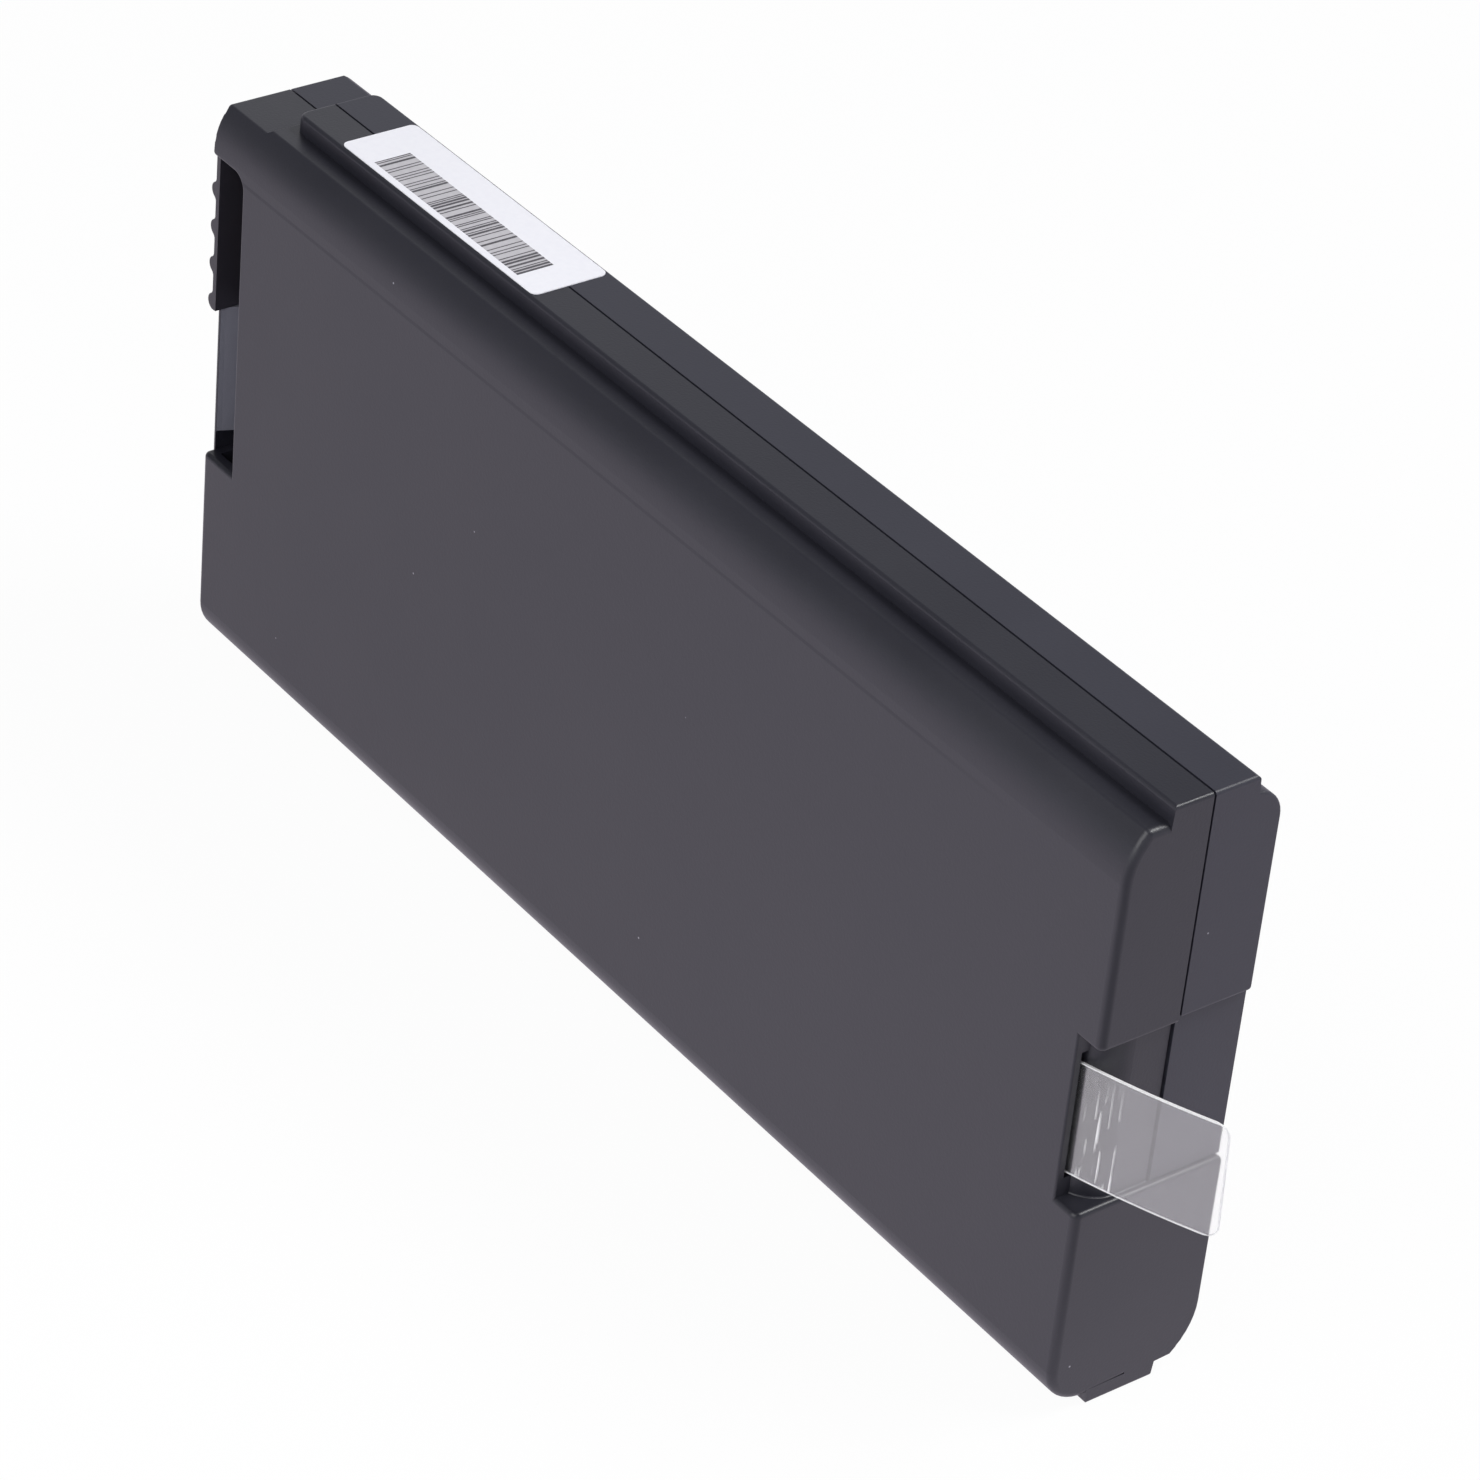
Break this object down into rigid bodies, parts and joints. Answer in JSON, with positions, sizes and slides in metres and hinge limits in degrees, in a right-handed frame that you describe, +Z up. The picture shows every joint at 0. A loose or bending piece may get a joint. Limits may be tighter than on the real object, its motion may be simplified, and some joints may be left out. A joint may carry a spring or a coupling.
{
  "type": "laptop battery",
  "caption": "Slim black laptop battery pack with slide rails, an end connector notch, a clear film pull tab and a white sticker.",
  "frame": {"origin": "middle of the bottom rail's underside, where the pack stands", "axes": "+X along the pack towards the pull tab, +Y through the thickness towards the back face, +Z up"},
  "size_m": [0.2022, 0.022, 0.0854],
  "materials": {
    "housing_plastic": "satin moulded",
    "connector_plastic": "satin moulded",
    "tray_plastic": "natural moulded",
    "film": "clear film",
    "label_paper": "coated white",
    "cell_sleeve": "shrink sleeve",
    "nickel": "rolled strip",
    "contact_metal": "plated",
    "board": "solder mask",
    "chip_plastic": "moulded package",
    "part_ceramic": "fired",
    "insulator": "fibre sheet",
    "foam": "closed cell foam"
  },
  "bodies": {
    "root": {"front_shell": "housing_plastic", "rear_shell": "housing_plastic", "connector_housing": "connector_plastic", "contact_blades": "contact_metal", "lower_cell_tray": "tray_plastic", "upper_cell_tray": "tray_plastic", "negative_bus": "nickel", "lower_link_bus": "nickel", "upper_link_bus": "nickel", "positive_bus": "nickel", "insulator_paper": "insulator", "protection_board": "board", "gauge_chip": "chip_plastic", "switch_mosfets": "chip_plastic", "sense_resistor": "part_ceramic", "thermal_fuse": "chip_plastic", "capacitors": "part_ceramic", "thermistor": "chip_plastic", "foam_pad": "foam", "pull_tab": "film", "label": "label_paper", "cell_1": "cell_sleeve", "cell_2": "cell_sleeve", "cell_3": "cell_sleeve", "cell_4": "cell_sleeve", "cell_5": "cell_sleeve", "cell_6": "cell_sleeve", "cell_7": "cell_sleeve", "cell_8": "cell_sleeve", "cell_9": "cell_sleeve"}
  },
  "joints": []
}
